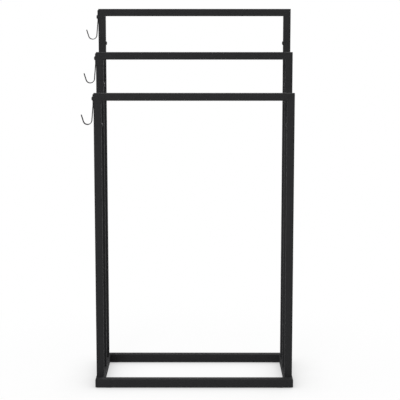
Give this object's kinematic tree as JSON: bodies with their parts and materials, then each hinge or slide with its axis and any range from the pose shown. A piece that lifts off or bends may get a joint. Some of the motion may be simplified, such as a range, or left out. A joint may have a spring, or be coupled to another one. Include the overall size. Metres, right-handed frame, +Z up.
{
  "type": "towel stand",
  "caption": "Freestanding square-tube towel stand: stepped hanging frames on a flat rectangular base, with swivelling strip hooks on the left-hand posts.",
  "frame": {"origin": "on the floor, under the middle of the overall box; the hooks reach out on the left, so the stand's own middle plane lies 15.6 mm to the right of the origin", "axes": "+Z up; +X to the right and +Y to the back, seen from the front, where the lowest frame stands"},
  "size_m": [0.5432, 0.263, 0.97],
  "materials": {
    "black_powder_coat": "matte black powder coat, very fine texture",
    "black_coated_strip": "matte black powder coat on bent steel strip",
    "black_screw": "satin black",
    "zinc_plated_steel": "bright zinc plate, hidden inside the tubes",
    "rubber_pad": "matte black rubber"
  },
  "bodies": {
    "stand": {"base_back_bar": "black_powder_coat", "base_front_bar": "black_powder_coat", "base_left_rail": "black_powder_coat", "base_right_rail": "black_powder_coat", "foot_plugs_left": "zinc_plated_steel", "foot_plugs_right": "zinc_plated_steel", "glide_back_left": "rubber_pad", "glide_back_right": "rubber_pad", "glide_front_left": "rubber_pad", "glide_front_right": "rubber_pad", "hook_rivet_nuts": "zinc_plated_steel", "hook_screws": "black_screw", "joint_screws_back": "black_screw", "joint_screws_front": "black_screw", "joint_screws_middle": "black_screw", "joint_sleeve_back_left": "zinc_plated_steel", "joint_sleeve_back_right": "zinc_plated_steel", "joint_sleeve_front_left": "zinc_plated_steel", "joint_sleeve_front_right": "zinc_plated_steel", "joint_sleeve_middle_left": "zinc_plated_steel", "joint_sleeve_middle_right": "zinc_plated_steel", "leg_back_left": "black_powder_coat", "leg_back_right": "black_powder_coat", "leg_bolts_left": "zinc_plated_steel", "leg_bolts_right": "zinc_plated_steel", "leg_front_left": "black_powder_coat", "leg_front_right": "black_powder_coat", "leg_middle_left": "black_powder_coat", "leg_middle_right": "black_powder_coat", "top_bar_back": "black_powder_coat", "top_bar_front": "black_powder_coat", "top_bar_middle": "black_powder_coat", "upper_post_back_left": "black_powder_coat", "upper_post_back_right": "black_powder_coat", "upper_post_front_left": "black_powder_coat", "upper_post_front_right": "black_powder_coat", "upper_post_middle_left": "black_powder_coat", "upper_post_middle_right": "black_powder_coat"},
    "front_hook": {"hook_front": "black_coated_strip"},
    "middle_hook": {"hook_middle": "black_coated_strip"},
    "back_hook": {"hook_back": "black_coated_strip"}
  },
  "joints": [
    {"name": "front_hook_swivel", "type": "hinge", "parent": "stand", "child": "front_hook", "pos_m": [-0.2389, -0.096, 0.747], "axis": [1, 0, 0], "range_deg": [-90, 90]},
    {"name": "middle_hook_swivel", "type": "hinge", "parent": "stand", "child": "middle_hook", "pos_m": [-0.2389, 0, 0.8445], "axis": [1, 0, 0], "range_deg": [-90, 90]},
    {"name": "back_hook_swivel", "type": "hinge", "parent": "stand", "child": "back_hook", "pos_m": [-0.2389, 0.096, 0.949], "axis": [1, 0, 0], "range_deg": [-90, 90]}
  ]
}
